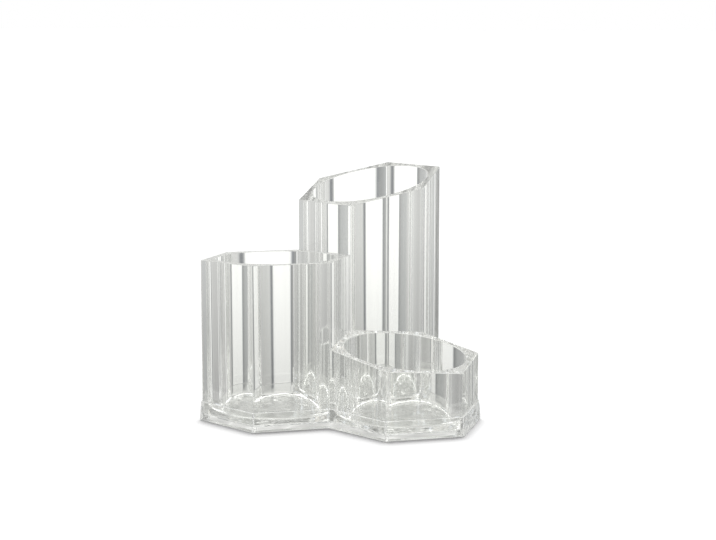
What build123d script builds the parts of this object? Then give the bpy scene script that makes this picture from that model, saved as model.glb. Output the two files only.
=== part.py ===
from build123d import *
import os
from math import atan2, cos, degrees, radians, sin, sqrt, tan

# A clear brush holder: three hexagonal cups with round bores stand in a honeycomb cluster on one
# flared foot. Each cup is cut off by its own sloping plane, so the rims step down from tall to short.
# Millimetres, +Z up. The origin is on the table under the middle of the foot's outline.
# The tall cup is towards +Y, the medium cup towards -X and the short cup towards +X.

# ---- cups ----
HEX_SIDE = 41.0              # side of every cup's hexagon, equal to the distance from centre to corner
CUP_WALL = 3.2               # wall thickness at the rim, where the bore comes nearest to a flat
BORE_DRAFT = 0.3             # degrees by which each bore narrows towards its floor
BORE_FLOOR_BEVEL = 1.2       # bevel between a bore and its floor
CUP_FLOOR = 1.5              # thickness of each cup's own floor
CUP_EDGE_RADIUS = 0.6        # rounding of the upright outer edges
RIM_BEVEL = 0.35             # bevel on both edges of the rims
GLUE_LINE = 0.1              # gap filled with cement between the flats of two neighbouring cups

# ---- rims: height above the table at the bore's axis, and slope ----
# Each rim rises in its cup's own direction, turned by this many degrees.
TALL_HEIGHT = 121.5
TALL_SLOPE = 13.2
TALL_RISE_TURN = -30.0       # away from the medium cup
MEDIUM_HEIGHT = 86.5
MEDIUM_SLOPE = 1.9
MEDIUM_RISE_TURN = 90.0      # along the front, towards the short cup's side
SHORT_HEIGHT = 39.0
SHORT_SLOPE = 8.3
SHORT_RISE_TURN = 180.0      # towards the shared corner

# ---- foot ----
FOOT_HEIGHT = 10.2           # from the table to the ledge on which the cups' shoulders sit
FOOT_LEDGE = 0.75            # how far the foot stands out of the cups' walls at its top
FOOT_SPREAD = 1.45           # how far it stands out at the table
FOOT_CORNER_RADIUS = 1.2     # rounding of the foot's outer corners at its top
FOOT_BEVEL = 0.4             # bevel on the foot's top and bottom outer edges
FOOT_RIM = 4.5               # width of the rim that stands on the table, from the cups' walls inwards
FOOT_RECESS = 1.8            # depth of the hollow underside inside that rim
BASE_PLATE = 1.5             # thickness of the plate that the cups stand on

# ---- seat of the cups in the foot ----
SEAT_INSET = 1.2             # how far the foot's wall reaches in under the cups' shoulders
SEAT_CLEARANCE = 0.15        # between the foot's wall and the rebated lower ends of the cups
SHOULDER_GAP = 0.1           # between the foot's top and the shoulders, because the floors carry the cups

# ---- worked out ----
APOTHEM = HEX_SIDE * sqrt(3) / 2            # from a cup's axis to the middle of a flat
CELL_SIDE = HEX_SIDE + GLUE_LINE / sqrt(3)  # a cup's hexagon with half the glue line all round
SEAT_Z = FOOT_RECESS + BASE_PLATE
BORE_FLOOR_Z = SEAT_Z + CUP_FLOOR
SHOULDER_Z = FOOT_HEIGHT + SHOULDER_GAP

# Degrees from +X to each cup, round the corner that all three share.
TALL_DIRECTION, MEDIUM_DIRECTION, SHORT_DIRECTION = (90 + 120 * third for third in range(3))


def step(direction, distance):
    """A move over the table by a distance in a direction in degrees."""
    return Vector(distance * cos(radians(direction)), distance * sin(radians(direction)))


# The foot's outline reaches two cells from the shared corner on the tall cup's side and one and a half
# on the other, so the corner stands a quarter of a cell away from the outline's middle.
SHARED_CORNER = step(TALL_DIRECTION, -CELL_SIDE / 4)


def cup_axis(direction):
    """Where a cup's axis stands: one cell side away from the shared corner."""
    return SHARED_CORNER + step(direction, CELL_SIDE)


def cluster(growth):
    """The outline of the three cups together, moved outwards by growth, or inwards where negative."""
    corners = []
    for direction in (TALL_DIRECTION, MEDIUM_DIRECTION, SHORT_DIRECTION):
        for turn in (-60, 0, 60, 120):
            corners.append(cup_axis(direction) + step(direction + turn, CELL_SIDE))
    return offset(Polygon(*corners, align=None), growth - GLUE_LINE / 2, kind=Kind.INTERSECTION)


def rim_plane(direction, height, slope, rise_turn):
    """The sloping plane that cuts a cup off, with its normal pointing up out of the cup."""
    lean = step(direction + rise_turn, -sin(radians(slope)))
    origin = cup_axis(direction) + Vector(0, 0, height)
    return Plane(origin=origin, z_dir=lean + Vector(0, 0, cos(radians(slope))))


def bore(direction, height, top):
    """The round hollow of a cup: a tapered bore with a bevel round its floor, run on above the rim."""
    radius = APOTHEM - CUP_WALL
    floor_radius = radius - (height - BORE_FLOOR_Z) * tan(radians(BORE_DRAFT))
    top_radius = radius + (top - height) * tan(radians(BORE_DRAFT))
    corner = (floor_radius, BORE_FLOOR_Z)
    profile = Polygon((0, BORE_FLOOR_Z), corner, (top_radius, top), (0, top), align=None)
    profile = chamfer(profile.vertices().sort_by_distance(corner)[0], BORE_FLOOR_BEVEL)
    return Pos(*cup_axis(direction)) * revolve(Plane.XZ * profile, Axis.Z)


def cup(direction, height, slope, rise_turn):
    """One hexagonal cup with its rebated lower end, its bore and its sloping rim."""
    top = height + HEX_SIDE
    outline = Pos(*cup_axis(direction)) * RegularPolygon(HEX_SIDE, 6, rotation=direction)
    outline = fillet(outline.vertices(), CUP_EDGE_RADIUS)
    seated = outline & cluster(-SEAT_INSET - SEAT_CLEARANCE)
    body = Pos(0, 0, SHOULDER_Z) * extrude(outline, top - SHOULDER_Z)
    body += Pos(0, 0, SEAT_Z) * extrude(seated, SHOULDER_Z - SEAT_Z)
    body -= bore(direction, height, top + CUP_WALL)
    cut = rim_plane(direction, height, slope, rise_turn)
    body = split(body, bisect_by=cut, keep=Keep.BOTTOM)
    rim = body.faces().sort_by_distance(cut.origin + HEX_SIDE * cut.z_dir)[0]
    return chamfer(rim.edges(), RIM_BEVEL)


def foot():
    """The flared foot: a plate with a low wall round it, hollow underneath inside a standing rim."""
    flare = degrees(atan2(FOOT_SPREAD - FOOT_LEDGE, FOOT_HEIGHT))
    outline = cluster(FOOT_LEDGE)
    outline = Pos(0, 0, FOOT_HEIGHT) * fillet(outline.vertices(), FOOT_CORNER_RADIUS)
    body = extrude(outline, FOOT_HEIGHT, dir=(0, 0, -1), taper=-flare)
    levels = body.edges().group_by(Axis.Z)
    body = chamfer(levels[0] + levels[-1], FOOT_BEVEL)
    body -= Pos(0, 0, SEAT_Z) * extrude(cluster(-SEAT_INSET), FOOT_HEIGHT)
    body -= extrude(cluster(-FOOT_RIM), FOOT_RECESS)
    return body


parts = {
    "tall_cup": cup(TALL_DIRECTION, TALL_HEIGHT, TALL_SLOPE, TALL_RISE_TURN),
    "medium_cup": cup(MEDIUM_DIRECTION, MEDIUM_HEIGHT, MEDIUM_SLOPE, MEDIUM_RISE_TURN),
    "short_cup": cup(SHORT_DIRECTION, SHORT_HEIGHT, SHORT_SLOPE, SHORT_RISE_TURN),
    "flared_foot": foot(),
}

os.makedirs("parts", exist_ok=True)
for name, shape in parts.items():
    export_step(shape, f"parts/{name}.step")
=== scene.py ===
import bmesh
import bpy
from math import atan2, cos, pi, radians, sin, sqrt, tan
from mathutils import Matrix, Vector


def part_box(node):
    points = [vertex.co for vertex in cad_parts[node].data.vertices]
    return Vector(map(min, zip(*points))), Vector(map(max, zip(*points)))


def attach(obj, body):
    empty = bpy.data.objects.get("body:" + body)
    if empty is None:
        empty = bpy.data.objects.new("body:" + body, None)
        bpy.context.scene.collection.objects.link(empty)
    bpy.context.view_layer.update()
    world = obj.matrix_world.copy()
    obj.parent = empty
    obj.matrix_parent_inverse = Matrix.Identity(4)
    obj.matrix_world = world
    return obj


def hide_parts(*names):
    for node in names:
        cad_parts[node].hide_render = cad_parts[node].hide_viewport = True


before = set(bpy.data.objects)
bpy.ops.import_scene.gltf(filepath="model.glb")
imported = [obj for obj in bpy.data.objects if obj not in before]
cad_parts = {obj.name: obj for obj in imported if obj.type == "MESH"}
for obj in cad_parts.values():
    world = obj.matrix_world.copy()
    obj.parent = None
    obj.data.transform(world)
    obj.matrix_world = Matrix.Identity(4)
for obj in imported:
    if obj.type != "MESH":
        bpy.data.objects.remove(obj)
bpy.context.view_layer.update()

# A clear brush holder: three hexagonal cups with round bores stand in a cluster on one flared foot.
# Metres, +Z up. The tall cup is towards +Y, the medium cup towards -X and the short cup towards +X.

MM = 0.001

# ---- cups ----
CUP_WALL = 3.2 * MM            # at the rim, where the bore comes nearest to a flat
BORE_DRAFT = radians(0.3)      # how much each bore narrows towards its floor
BORE_FLOOR_RADIUS = 2.0 * MM   # rounding between a bore and its floor
CUP_FLOOR = 1.5 * MM
CUP_EDGE_RADIUS = 0.6 * MM     # rounding of the upright outer edges
CUP_BOTTOM_RADIUS = 0.25 * MM
RIM_RADIUS = 0.4 * MM          # rounding of both edges of the rims
CEMENT_FILM = 0.05 * MM        # under the cups' floors

# The direction of each cup from the corner that all three share, the height of its rim at the bore's
# axis, the slope of the rim and the direction in which the rim rises. Directions are degrees from +X.
CUPS = {
    "tall_cup": (90, 121.5 * MM, radians(13.2), 60),
    "medium_cup": (210, 86.5 * MM, radians(1.9), 300),
    "short_cup": (330, 39.0 * MM, radians(8.3), 150),
}

# ---- foot ----
FOOT_LEDGE = 0.75 * MM         # how far the foot stands out of the cups' walls at its top
FOOT_SPREAD = 1.45 * MM        # how far it stands out at the table
FOOT_CORNER_RADIUS = 1.2 * MM  # at the top; the foot's corners open out with its flare
FOOT_EDGE_RADIUS = 0.4 * MM
FOOT_RIM = 4.5 * MM            # width of the rim that stands on the table, from the cups' walls inwards
FOOT_RECESS = 1.8 * MM         # depth of the hollow underside inside that rim
SEAT_INSET = 1.2 * MM          # how far the foot's wall reaches in under the cups' shoulders
SEAT_CLEARANCE = 0.15 * MM     # between that wall and the lower ends of the cups
SEAT_CORNER_RADIUS = 0.2 * MM
SHOULDER_GAP = 0.1 * MM        # between the foot's top and the shoulders

# ---- how finely the curves are divided ----
CORNER_STEPS = 8               # round each upright edge
SIDE_STEPS = 30                # along each side of an outline
EDGE_STEPS = 4                 # over each rounded edge
FLOOR_STEPS = 8                # from each bore to its floor
BOTTOM_STEPS = 2               # over the small rounding under each cup
SHARP_ANGLE = radians(40)      # between two faces, from which their edge is drawn sharp


def unit(degrees):
    """A level direction, in degrees from +X."""
    return Vector((cos(radians(degrees)), sin(radians(degrees))))


def axis_of(node):
    """Where a cup's axis stands: the middle of its solid, seen from above."""
    low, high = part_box(node)
    return ((low + high) / 2).xy


# ---- read from the frame ----
CUP_LOW, CUP_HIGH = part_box("medium_cup")
APOTHEM = (CUP_HIGH.x - CUP_LOW.x) / 2      # from a cup's axis to the middle of a flat
HEX_SIDE = APOTHEM * 2 / sqrt(3)
SEAT_Z = CUP_LOW.z
BORE_FLOOR_Z = SEAT_Z + CUP_FLOOR
FOOT_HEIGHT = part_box("flared_foot")[1].z
CELL_SIDE = (axis_of("short_cup").x - axis_of("medium_cup").x) / sqrt(3)


def inset_corners(corners, insets):
    """The corners of an outline after its sides have moved inwards. Side k starts at corner k."""
    sides = []
    for k, corner in enumerate(corners):
        along = (corners[(k + 1) % len(corners)] - corner).normalized()
        inward = Vector((-along.y, along.x))
        sides.append((corner + insets[k] * inward, along))
    moved = []
    for k in range(len(corners)):
        (p, along), (q, next_along) = sides[k - 1], sides[k]
        moved.append(p + along * (q - p).cross(next_along) / along.cross(next_along))
    return moved


def rounded_corner(corner, before, after, radius):
    """Points along the arc that rounds a corner between its two neighbours."""
    to_before = (before - corner).normalized()
    to_after = (after - corner).normalized()
    half = to_before.angle(to_after) / 2
    centre = corner + (to_before + to_after).normalized() * radius / sin(half)
    start = corner + to_before * radius / tan(half) - centre
    end = corner + to_after * radius / tan(half) - centre
    turn = atan2(start.cross(end), start.dot(end))
    steps = range(CORNER_STEPS + 1)
    return [centre + Matrix.Rotation(turn * i / CORNER_STEPS, 2) @ start for i in steps]


def outline(corners, radius):
    """Points round an outline: an arc at each corner, then steps along the side that follows it."""
    arcs = []
    for k, corner in enumerate(corners):
        arcs.append(rounded_corner(corner, corners[k - 1], corners[(k + 1) % len(corners)], radius))
    points = []
    for k, arc in enumerate(arcs):
        next_start = arcs[(k + 1) % len(arcs)][0]
        points += arc
        points += [arc[-1].lerp(next_start, i / SIDE_STEPS) for i in range(1, SIDE_STEPS)]
    return points


def raised(points, z):
    """The points of an outline at one height."""
    return [Vector((p.x, p.y, z)) for p in points]


def rounding(radius, steps):
    """(inset, drop) along a quarter round, from an upright face over to a level one."""
    angles = [pi / 2 * i / steps for i in range(steps + 1)]
    return [(radius * (1 - cos(a)), radius * (1 - sin(a))) for a in angles]


def moulding(node, rings, material):
    """A closed mesh through rings of equally many points, which stands for a node of the frame."""
    name = node + "_moulding"
    mesh = bpy.data.meshes.new(name)
    work = bmesh.new()
    loops = [[work.verts.new(p) for p in ring] for ring in rings]
    count = len(loops[0])
    for lower, upper in zip(loops, loops[1:]):
        for i in range(count):
            j = (i + 1) % count
            work.faces.new((lower[i], lower[j], upper[j], upper[i]))
    work.faces.new(reversed(loops[0]))
    work.faces.new(loops[-1])
    for face in work.faces:
        face.smooth = True
    work.to_mesh(mesh)
    work.free()
    mesh.set_sharp_from_angle(angle=SHARP_ANGLE)
    mesh.materials.append(material)
    piece = bpy.data.objects.new(name, mesh)
    bpy.context.scene.collection.objects.link(piece)
    # Flat faces stay flat up to the roundings beside them.
    weighted = piece.modifiers.new("weighted_normals", "WEIGHTED_NORMAL")
    weighted.keep_sharp = True
    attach(piece, "root")
    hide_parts(node)


def cup(node, towards, height, slope, rise, material):
    """One hexagonal cup: rebated lower end, upright walls, sloping rim, drafted bore and rounded floor."""
    axis = axis_of(node)
    hexagon = [axis + HEX_SIDE * unit(towards + 60 * k) for k in range(6)]
    bore_radius = APOTHEM - CUP_WALL

    def rim_height(p):
        return height + tan(slope) * unit(rise).dot(p.xy - axis)

    def radius_at(z):
        return bore_radius + (z - height) * tan(BORE_DRAFT)

    def walls(inset):
        return outline(inset_corners(hexagon, [inset] * 6), CUP_EDGE_RADIUS - inset)

    def lower_end(inset):
        # The two sides that face the other cups aren't rebated.
        rebated = SEAT_INSET + SEAT_CLEARANCE + inset
        insets = [rebated, rebated, inset, inset, rebated, rebated]
        return outline(inset_corners(hexagon, insets), SEAT_CORNER_RADIUS)

    spokes = [(p - axis).normalized() for p in walls(0)]

    def wall_at_rim(inset, drop):
        return [Vector((p.x, p.y, rim_height(p) - drop)) for p in walls(inset)]

    def bore_at_rim(inset, drop):
        points = []
        for spoke in spokes:
            p = axis + (radius_at(rim_height(axis + bore_radius * spoke)) + inset) * spoke
            points.append(Vector((p.x, p.y, rim_height(p) - drop)))
        return points

    def bore_at_floor(inset, rise_above):
        z = BORE_FLOOR_Z + rise_above
        return raised([axis + (radius_at(z) - inset) * spoke for spoke in spokes], z)

    bottom = SEAT_Z + CEMENT_FILM
    shoulder = FOOT_HEIGHT + SHOULDER_GAP
    under = reversed(rounding(CUP_BOTTOM_RADIUS, BOTTOM_STEPS))
    rings = [raised(lower_end(i), bottom + d) for i, d in under]
    rings += [raised(lower_end(0), shoulder), raised(walls(0), shoulder)]
    rings += [wall_at_rim(i, d) for i, d in rounding(RIM_RADIUS, EDGE_STEPS)]
    rings += [bore_at_rim(i, d) for i, d in reversed(rounding(RIM_RADIUS, EDGE_STEPS))]
    rings += [bore_at_floor(i, d) for i, d in rounding(BORE_FLOOR_RADIUS, FLOOR_STEPS)]
    moulding(node, rings, material)


def foot(node, material):
    """The flared foot: a plate with a low wall round it, hollow underneath inside a standing rim."""
    corners = []
    for cup_node, (towards, *_) in CUPS.items():
        axis = axis_of(cup_node)
        corners += [axis + CELL_SIDE * unit(towards + turn) for turn in (-60, 0, 60, 120)]
    half_glue_line = (CELL_SIDE - HEX_SIDE) * sqrt(3) / 2

    def grown(growth, radius):
        return outline(inset_corners(corners, [half_glue_line - growth] * len(corners)), radius)

    def flared(z, inset):
        flare = (FOOT_SPREAD - FOOT_LEDGE) * (1 - z / FOOT_HEIGHT) - inset
        return raised(grown(FOOT_LEDGE + flare, FOOT_CORNER_RADIUS + flare), z)

    edge = rounding(FOOT_EDGE_RADIUS, EDGE_STEPS)
    rings = [raised(grown(-FOOT_RIM, FOOT_CORNER_RADIUS), z) for z in (FOOT_RECESS, 0)]
    rings += [flared(drop, inset) for inset, drop in reversed(edge)]
    rings += [flared(FOOT_HEIGHT - drop, inset) for inset, drop in edge]
    rings += [raised(grown(-SEAT_INSET, SEAT_CORNER_RADIUS), z) for z in (FOOT_HEIGHT, SEAT_Z)]
    moulding(node, rings, material)


# ---- shader helpers ----
def shader(tree, kind, inputs=None, **settings):
    """A node whose inputs, by name or number, are linked to a socket or set to a value."""
    made = tree.nodes.new(kind)
    for key, value in settings.items():
        setattr(made, key, value)
    for key, value in (inputs or {}).items():
        if isinstance(value, bpy.types.NodeSocket):
            tree.links.new(value, made.inputs[key])
        else:
            made.inputs[key].default_value = value
    return made


def calculate(tree, operation, *values):
    """The result of a sum on numbers or sockets."""
    return shader(tree, "ShaderNodeMath", dict(enumerate(values)), operation=operation).outputs[0]


def noise(tree, place, stretch, scale, detail):
    """Smooth noise from 0 to 1."""
    stretched = shader(tree, "ShaderNodeMapping", {"Vector": place, "Scale": stretch}).outputs[0]
    settings = {"Vector": stretched, "Scale": scale, "Detail": detail}
    return shader(tree, "ShaderNodeTexNoise", settings).outputs["Fac"]


def ramp(tree, position, stops):
    """The colour at a position from 0 to 1, between stops of (position, colour)."""
    made = shader(tree, "ShaderNodeValToRGB", {"Fac": position})
    elements = made.color_ramp.elements
    elements[0].position, elements[1].position = stops[0][0], stops[-1][0]
    for at, _ in stops[1:-1]:
        elements.new(at)
    for element, (_, colour) in zip(elements, stops):
        element.color = (*colour, 1)
    return made.outputs["Color"]


def blend(tree, share, first, second):
    """The first colour, and the second one as far as the share says."""
    # A mix node's colours are its inputs 6 and 7 and its output 2.
    colours = {0: share, 6: first, 7: second}
    return shader(tree, "ShaderNodeMix", colours, data_type="RGBA").outputs[2]


def either(tree, share, first, second):
    """The first shader, and the second one as far as the share says."""
    return shader(tree, "ShaderNodeMixShader", {0: share, 1: first, 2: second}).outputs[0]


def grey(level, tone=(1, 1, 1)):
    """A grey of a given level, with a slight tone."""
    return tuple(level * part for part in tone)


def from_the_plastic(tree, ray):
    """1 for the rays that leave the plastic, and 0 for all others."""
    return calculate(tree, "MAXIMUM", ray.outputs["Is Transmission Ray"], ray.outputs["Is Glossy Ray"])


def emptied(owner):
    """The node tree of a material or a world, with nothing in it."""
    owner.use_nodes = True
    owner.node_tree.nodes.clear()
    return owner.node_tree


# ---- clear plastic ----
PLASTIC_IOR = 1.49
# The tint changes slowly with the waves of the walls: (height of the wave from 0 to 1, tint).
PLASTIC_TINTS = ((0.3, (0.99, 0.99, 0.985)), (0.7, (0.98, 0.985, 0.975)))
WAVE_DETAIL = 1.0              # how much finer noise lies on the waves and ripples
# Slow waves that run up the walls: how many in a metre, the share of that number upwards, and their depth.
WALL_WAVES, WALL_STRETCH, WALL_DEPTH = 60, 0.15, 0.08 * MM
# Short ripples where the plastic is thick: how many in a metre upwards, the share of that number along the
# table, their depth at the table, and the height at which they have died out.
LOW_RIPPLES, LOW_STRETCH, LOW_DEPTH, LOW_REACH = 160, 0.5, 0.6 * MM, 16 * MM
# The share of the lamp's light that each surface lets through on its way to the table.
WALL_PASS = 0.995
FOOT_PASS = 0.3


def clear_plastic(name, shadow_pass):
    """Clear moulded plastic: polished, faintly tinted, with the waves and ripples of a moulded surface."""
    material = bpy.data.materials.new(name)
    tree = emptied(material)
    place = shader(tree, "ShaderNodeTexCoord").outputs["Object"]
    waves = noise(tree, place, (1, 1, WALL_STRETCH), WALL_WAVES, WAVE_DETAIL)
    ripples = noise(tree, place, (LOW_STRETCH, LOW_STRETCH, 1), LOW_RIPPLES, WAVE_DETAIL)
    up = shader(tree, "ShaderNodeSeparateXYZ", {0: place}).outputs["Z"]
    dying_out = {"Value": up, "From Max": LOW_REACH, "To Min": LOW_DEPTH, "To Max": 0}
    ripple_depth = shader(tree, "ShaderNodeMapRange", dying_out).outputs["Result"]
    height = calculate(tree, "MULTIPLY", ripples, ripple_depth)
    height = calculate(tree, "MULTIPLY_ADD", waves, WALL_DEPTH, height)
    surface = shader(tree, "ShaderNodeBump", {"Height": height, "Strength": 1.0, "Distance": 1.0})
    plastic = shader(tree, "ShaderNodeBsdfPrincipled", {
        "Base Color": ramp(tree, waves, PLASTIC_TINTS),
        "Roughness": 0.0,
        "IOR": PLASTIC_IOR,
        "Transmission Weight": 1.0,
        "Normal": surface.outputs["Normal"],
    })
    passed = shader(tree, "ShaderNodeBsdfTransparent", {"Color": (*grey(shadow_pass), 1)})
    shadow = shader(tree, "ShaderNodeLightPath").outputs["Is Shadow Ray"]
    mixed = either(tree, shadow, plastic.outputs[0], passed.outputs[0])
    shader(tree, "ShaderNodeOutputMaterial", {"Surface": mixed})
    return material


# ---- the object ----
wall_plastic = clear_plastic("clear_plastic_walls", WALL_PASS)
for node, (towards, height, slope, rise) in CUPS.items():
    cup(node, towards, height, slope, rise, wall_plastic)
foot("flared_foot", clear_plastic("clear_plastic_foot", FOOT_PASS))

# ---- camera ----
FOCAL_LENGTH = 88.3             # millimetres
SENSOR_WIDTH = 36               # millimetres
VIEW_REACH = 20                 # metres
CAMERA_TURN = radians(15.22)    # of the view round the holder, from straight along +Y
CAMERA_TILT = radians(8.53)     # below level
CAMERA_PLACE = Vector((0.0041, -0.942, 0.2193))   # from the corner that the cups share, turned with the view


def make_camera():
    """The photograph's point of view: a little above the rims, from the front and slightly from the right."""
    data = bpy.data.cameras.new("camera")
    data.sensor_fit = "HORIZONTAL"
    data.sensor_width = SENSOR_WIDTH
    data.lens = FOCAL_LENGTH
    data.clip_end = VIEW_REACH
    camera = bpy.data.objects.new("camera", data)
    bpy.context.scene.collection.objects.link(camera)
    shared_corner = Vector((0, -CELL_SIDE / 4, 0))
    camera.location = shared_corner + Matrix.Rotation(CAMERA_TURN, 3, "Z") @ CAMERA_PLACE
    camera.rotation_euler = (pi / 2 - CAMERA_TILT, 0, CAMERA_TURN)
    bpy.context.scene.camera = camera


make_camera()

# ---- studio ----
FLOOR_SIZE = 30
FLOOR_DROP = 0.1 * MM           # a film of air under the foot
FLOOR_GREY = 0.8
FLOOR_GLOW = 0.18               # added where the camera sees the floor, so that it is white

# What the plastic shows of the room, near the horizon: (degrees, level, tone) round the object, from the
# middle of the backdrop and clockwise, seen from above.
WARM, PALE, COOL, GOLD = (0.995, 1.0, 0.975), (0.975, 0.995, 0.985), (0.9, 0.94, 1.0), (1.0, 0.96, 0.88)
BACKDROP = (
    (-180, 1.1, WARM), (-166, 1.1, WARM), (-163, 0.3, COOL), (-158, 0.6, COOL), (-135, 0.6, WARM),
    (-116, 0.2, WARM), (-112, 0.6, WARM), (-97, 0.6, WARM), (-95, 0.2, WARM), (-91, 0.2, WARM),
    (-89, 1.0, WARM), (-70, 1.0, WARM), (-67, 0.3, COOL), (-63, 0.62, WARM), (-42, 0.6, WARM),
    (-20, 0.72, WARM), (-18, 0.22, COOL), (-16, 0.22, COOL), (-14, 1.15, WARM), (11, 1.15, WARM),
    (12.5, 0.28, COOL), (14, 0.33, PALE), (18, 0.48, PALE), (33, 0.54, PALE), (44, 0.66, WARM),
    (60, 0.57, WARM), (82, 0.66, WARM), (91, 1.0, WARM), (108, 1.0, WARM), (112, 0.2, WARM),
    (135, 0.6, WARM), (180, 1.1, WARM),
)
# That level is multiplied by this one, by degrees above the horizon:
BACKDROP_RISE = (
    (-90, 0.68), (-12.6, 0.68), (-11.5, 0.78), (-10, 0.88), (-7.5, 1.05), (-2, 1.05), (4, 0.72), (90, 0.72),
)
# Lamps and dark gaps between them, higher up, in the same way:
LAMPS = (
    (-180, 0.9, WARM), (-165, 0.8, WARM), (-150, 0.3, WARM), (-130, 0.3, WARM), (-115, 1.2, GOLD),
    (-100, 1.2, GOLD), (-88, 0.3, WARM), (-74, 0.3, WARM), (-62, 1.15, COOL), (-46, 1.15, COOL),
    (-34, 0.3, WARM), (34, 0.3, WARM), (46, 1.15, COOL), (62, 1.15, COOL), (74, 0.3, WARM),
    (86, 0.3, WARM), (98, 1.2, GOLD), (114, 1.2, GOLD), (130, 0.3, WARM), (150, 0.3, WARM),
    (165, 0.8, WARM), (180, 0.9, WARM),
)
# Elsewhere, by degrees above the horizon:
CEILING_AND_TABLE = (
    (-90, 0.36, WARM), (-66, 0.4, WARM), (-50, 0.9, WARM), (-30, 0.95, WARM), (-22, 0.82, WARM),
    (-15, 0.68, WARM), (18, 0.45, WARM), (32, 0.3, WARM), (46, 0.5, WARM), (52, 2.1, WARM),
    (70, 2.1, WARM), (78, 0.6, WARM), (90, 0.5, WARM),
)
# How much of the backdrop's band and of the lamps shows, by degrees above the horizon:
BAND = ((-90, 0), (-60, 0), (-40, 0.35), (-15.5, 0.4), (-14, 1), (2, 1), (6, 0), (90, 0))
LAMP_BAND = ((-90, 0), (13, 0), (16, 1), (42, 1), (52, 0), (90, 0))
# The table under the holder, as it shows through the plastic: painted light gathered into soft lines, on
# painted shade that stands in for the holder's shadow on the table.
GATHERED_REACH = (39 * MM, 43 * MM)     # from the nearest cup's axis, where the table gives way to the room
GATHERED_LINES = 45                     # in a metre
GATHERED_DETAIL = 1.5                   # how much finer noise bends the lines
LINE_NOISE = 0.5                        # the noise's value along the lines
GATHERED_LEVELS = ((0.0, 0.92), (0.03, 0.8), (0.1, 0.68), (0.3, 0.56))    # by how far the noise is from it
ROOM_LIGHT = 0.2                # on the floor
LAMP_ENERGY = 3.6
LAMP_WIDTH = radians(44)
LAMP_TILT = radians(32)         # from straight above, so that the shadow lies in front of the foot


def under_the_holder(tree):
    """The floor as the plastic shows it: painted light gathered into lines, on painted shade, under the cups,
    and the room below elsewhere.
    """
    place = shader(tree, "ShaderNodeTexCoord").outputs["Object"]
    drift = noise(tree, place, (1, 1, 1), GATHERED_LINES, GATHERED_DETAIL)
    from_line = calculate(tree, "ABSOLUTE", calculate(tree, "SUBTRACT", drift, LINE_NOISE))
    levels = [(at, grey(level, WARM)) for at, level in GATHERED_LEVELS]
    # Painted light and shade: an emission that stands in for light the plastic gathers onto the table and for
    # the holder's shadow there.
    painted_gathered_light = shader(tree, "ShaderNodeEmission", {"Color": ramp(tree, from_line, levels)})
    nearest = FLOOR_SIZE
    for node in CUPS:
        ends = {0: place, 1: (*axis_of(node), FLOOR_DROP)}
        distance = shader(tree, "ShaderNodeVectorMath", ends, operation="DISTANCE").outputs["Value"]
        nearest = calculate(tree, "MINIMUM", distance, nearest)
    start, end = GATHERED_REACH
    outside = shader(tree, "ShaderNodeMapRange", {"Value": nearest, "From Min": start, "From Max": end})
    clear = shader(tree, "ShaderNodeBsdfTransparent")
    return either(tree, outside.outputs["Result"], painted_gathered_light.outputs[0], clear.outputs[0])


def make_floor():
    """A white floor, which keeps the object's shadow."""
    bpy.ops.mesh.primitive_plane_add(size=FLOOR_SIZE, location=(0, 0, -FLOOR_DROP))
    floor = bpy.context.object
    floor.name = "floor"
    material = bpy.data.materials.new("white_floor")
    tree = emptied(material)
    ray = shader(tree, "ShaderNodeLightPath")
    glow = calculate(tree, "MULTIPLY", ray.outputs["Is Camera Ray"], FLOOR_GLOW)
    matt = shader(tree, "ShaderNodeBsdfDiffuse", {"Color": (*grey(FLOOR_GREY), 1)})
    lit = shader(tree, "ShaderNodeEmission", {"Strength": glow})
    white = shader(tree, "ShaderNodeAddShader", {0: matt.outputs[0], 1: lit.outputs[0]})
    below = under_the_holder(tree)
    mixed = either(tree, from_the_plastic(tree, ray), white.outputs[0], below)
    shader(tree, "ShaderNodeOutputMaterial", {"Surface": mixed})
    floor.data.materials.append(material)


def round_the_room(tree, turned, stops):
    """The colour between stops of (degrees, level, tone) round the object."""
    way = shader(tree, "ShaderNodeSeparateXYZ", {0: turned})
    turns = calculate(tree, "DIVIDE", calculate(tree, "ARCTAN2", way.outputs["X"], way.outputs["Y"]), 2 * pi)
    position = calculate(tree, "ADD", turns, 0.5)
    return ramp(tree, position, [(angle / 360 + 0.5, grey(level, tone)) for angle, level, tone in stops])


def up_the_room(tree, turned, stops):
    """The colour between stops of (degrees above the horizon, level), which may have a tone as well."""
    way = shader(tree, "ShaderNodeSeparateXYZ", {0: turned})
    half_turns = calculate(tree, "DIVIDE", calculate(tree, "ARCSINE", way.outputs["Z"]), pi)
    position = calculate(tree, "ADD", half_turns, 0.5)
    return ramp(tree, position, [(angle / 180 + 0.5, grey(*shade)) for angle, *shade in stops])


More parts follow.
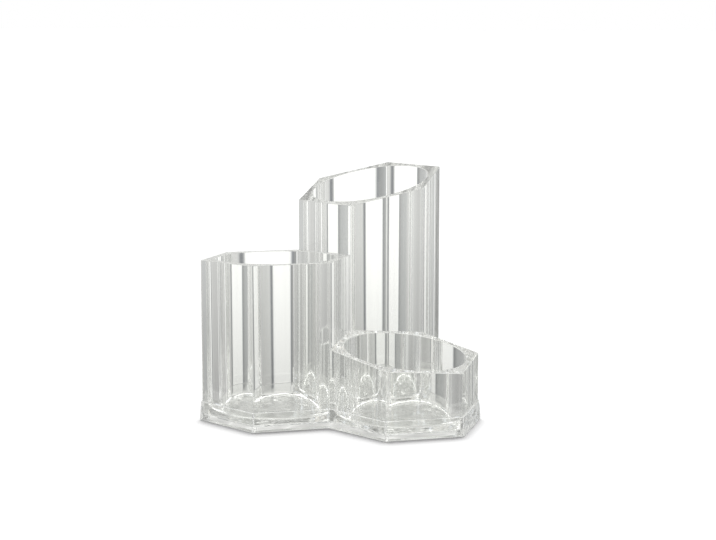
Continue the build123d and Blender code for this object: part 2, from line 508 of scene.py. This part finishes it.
def make_room():
    """White for the camera, and a studio with a backdrop, a table, lamps and a ceiling for the plastic."""
    world = bpy.data.worlds.new("studio")
    bpy.context.scene.world = world
    tree = emptied(world)
    towards = shader(tree, "ShaderNodeTexCoord").outputs["Generated"]
    turn = {"Vector": towards, "Angle": -CAMERA_TURN}
    turned = shader(tree, "ShaderNodeVectorRotate", turn, rotation_type="Z_AXIS").outputs[0]
    backdrop = round_the_room(tree, turned, BACKDROP)
    rise = up_the_room(tree, turned, BACKDROP_RISE)
    backdrop = shader(tree, "ShaderNodeVectorMath", {0: backdrop, 1: rise}, operation="MULTIPLY").outputs[0]
    lamps = round_the_room(tree, turned, LAMPS)
    seen = up_the_room(tree, turned, CEILING_AND_TABLE)
    seen = blend(tree, up_the_room(tree, turned, BAND), seen, backdrop)
    seen = blend(tree, up_the_room(tree, turned, LAMP_BAND), seen, lamps)
    room = shader(tree, "ShaderNodeBackground", {"Color": seen})
    light = shader(tree, "ShaderNodeBackground", {"Color": (*grey(ROOM_LIGHT), 1)})
    white = shader(tree, "ShaderNodeBackground", {"Color": (*grey(1), 1)})
    ray = shader(tree, "ShaderNodeLightPath")
    lit = either(tree, from_the_plastic(tree, ray), light.outputs[0], room.outputs[0])
    mixed = either(tree, ray.outputs["Is Camera Ray"], lit, white.outputs[0])
    shader(tree, "ShaderNodeOutputWorld", {"Surface": mixed})


def make_lamp():
    """One large soft light, above and behind the object, which the plastic doesn't mirror."""
    data = bpy.data.lights.new("soft_light", "SUN")
    data.energy = LAMP_ENERGY
    data.angle = LAMP_WIDTH
    lamp = bpy.data.objects.new("soft_light", data)
    bpy.context.scene.collection.objects.link(lamp)
    lamp.rotation_euler = (-LAMP_TILT, 0, CAMERA_TURN)
    lamp.visible_glossy = False
    lamp.visible_transmission = False


make_floor()
make_room()
make_lamp()

# ---- rendering ----
PLASTIC_BOUNCES = 128           # light crosses many clear walls before it leaves the object
SHADOW_CROSSINGS = 64           # surfaces that the lamp's light may cross on its way to the floor

scene = bpy.context.scene
scene.view_settings.view_transform = "Standard"
scene.cycles.max_bounces = PLASTIC_BOUNCES
scene.cycles.transmission_bounces = PLASTIC_BOUNCES
scene.cycles.glossy_bounces = PLASTIC_BOUNCES
scene.cycles.transparent_max_bounces = SHADOW_CROSSINGS
# The shadow comes from the plastic's stand-in for shadow rays alone.
scene.cycles.caustics_refractive = False
scene.cycles.caustics_reflective = False
